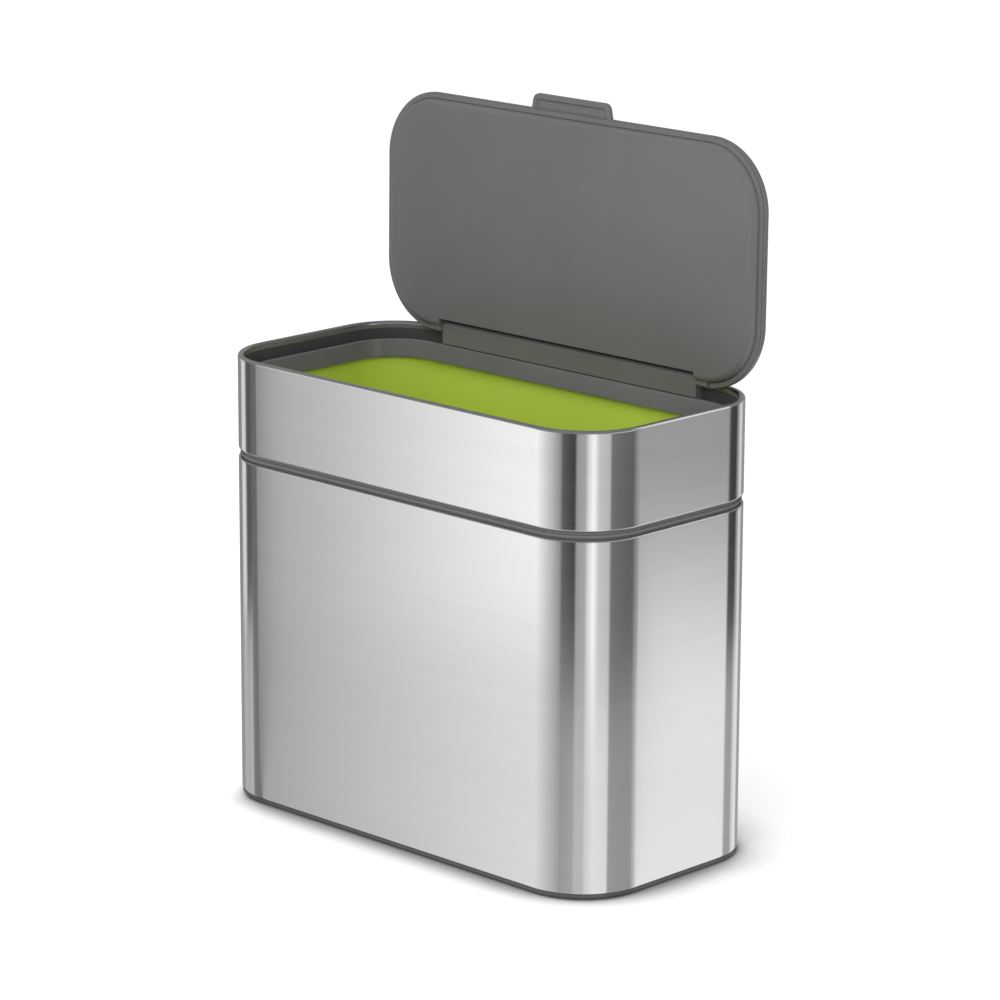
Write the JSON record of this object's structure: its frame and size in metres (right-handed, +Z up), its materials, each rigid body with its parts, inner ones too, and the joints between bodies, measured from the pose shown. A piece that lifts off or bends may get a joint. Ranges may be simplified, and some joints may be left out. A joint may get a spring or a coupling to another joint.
{
  "type": "compost caddy",
  "caption": "Oblong kitchen compost caddy with rounded corners: brushed steel shell, lift-off collar with a hinged lid that stands open at the rear, and a lift-out bucket for food scraps.",
  "frame": {"origin": "on the worktop, under the middle of the body", "axes": "+Z up, +X along the long front face to its right end, +Y to the rear, where the lid's hinge is"},
  "size_m": [0.24, 0.12, 0.3296],
  "materials": {
    "steel": "horizontally brushed",
    "grey_plastic": "satin moulded",
    "dark_plastic": "satin moulded",
    "green_plastic": "satin moulded",
    "soft_grey": "matt",
    "soft_black": "matt",
    "screw_steel": "plain turned"
  },
  "bodies": {
    "body": {"outer_shell": "steel", "base_pan": "dark_plastic", "floor_plate": "dark_plastic", "base_screws": "screw_steel", "foot_ring": "soft_black", "shell_ring": "grey_plastic", "seam_trim": "soft_grey"},
    "bucket": {"inner_bucket": "green_plastic"},
    "collar": {"upper_collar": "steel", "rim_frame": "grey_plastic", "hinge_leaf": "grey_plastic", "hinge_screws": "screw_steel", "hinge_pin": "screw_steel"},
    "lid": {"lid_cover": "grey_plastic", "lid_panel": "grey_plastic", "lid_gasket": "soft_grey"}
  },
  "joints": [
    {"name": "bucket_lift", "type": "slide", "parent": "body", "child": "bucket", "axis": [0, 0, 1], "range_m": [0, 0.2]},
    {"name": "collar_lift", "type": "slide", "parent": "bucket", "child": "collar", "axis": [0, 0, 1], "range_m": [0, 0.06]},
    {"name": "lid_hinge", "type": "hinge", "parent": "collar", "child": "lid", "pos_m": [0, 0.05405, 0.21245], "axis": [1, 0, 0], "range_deg": [0, 90.5]}
  ]
}
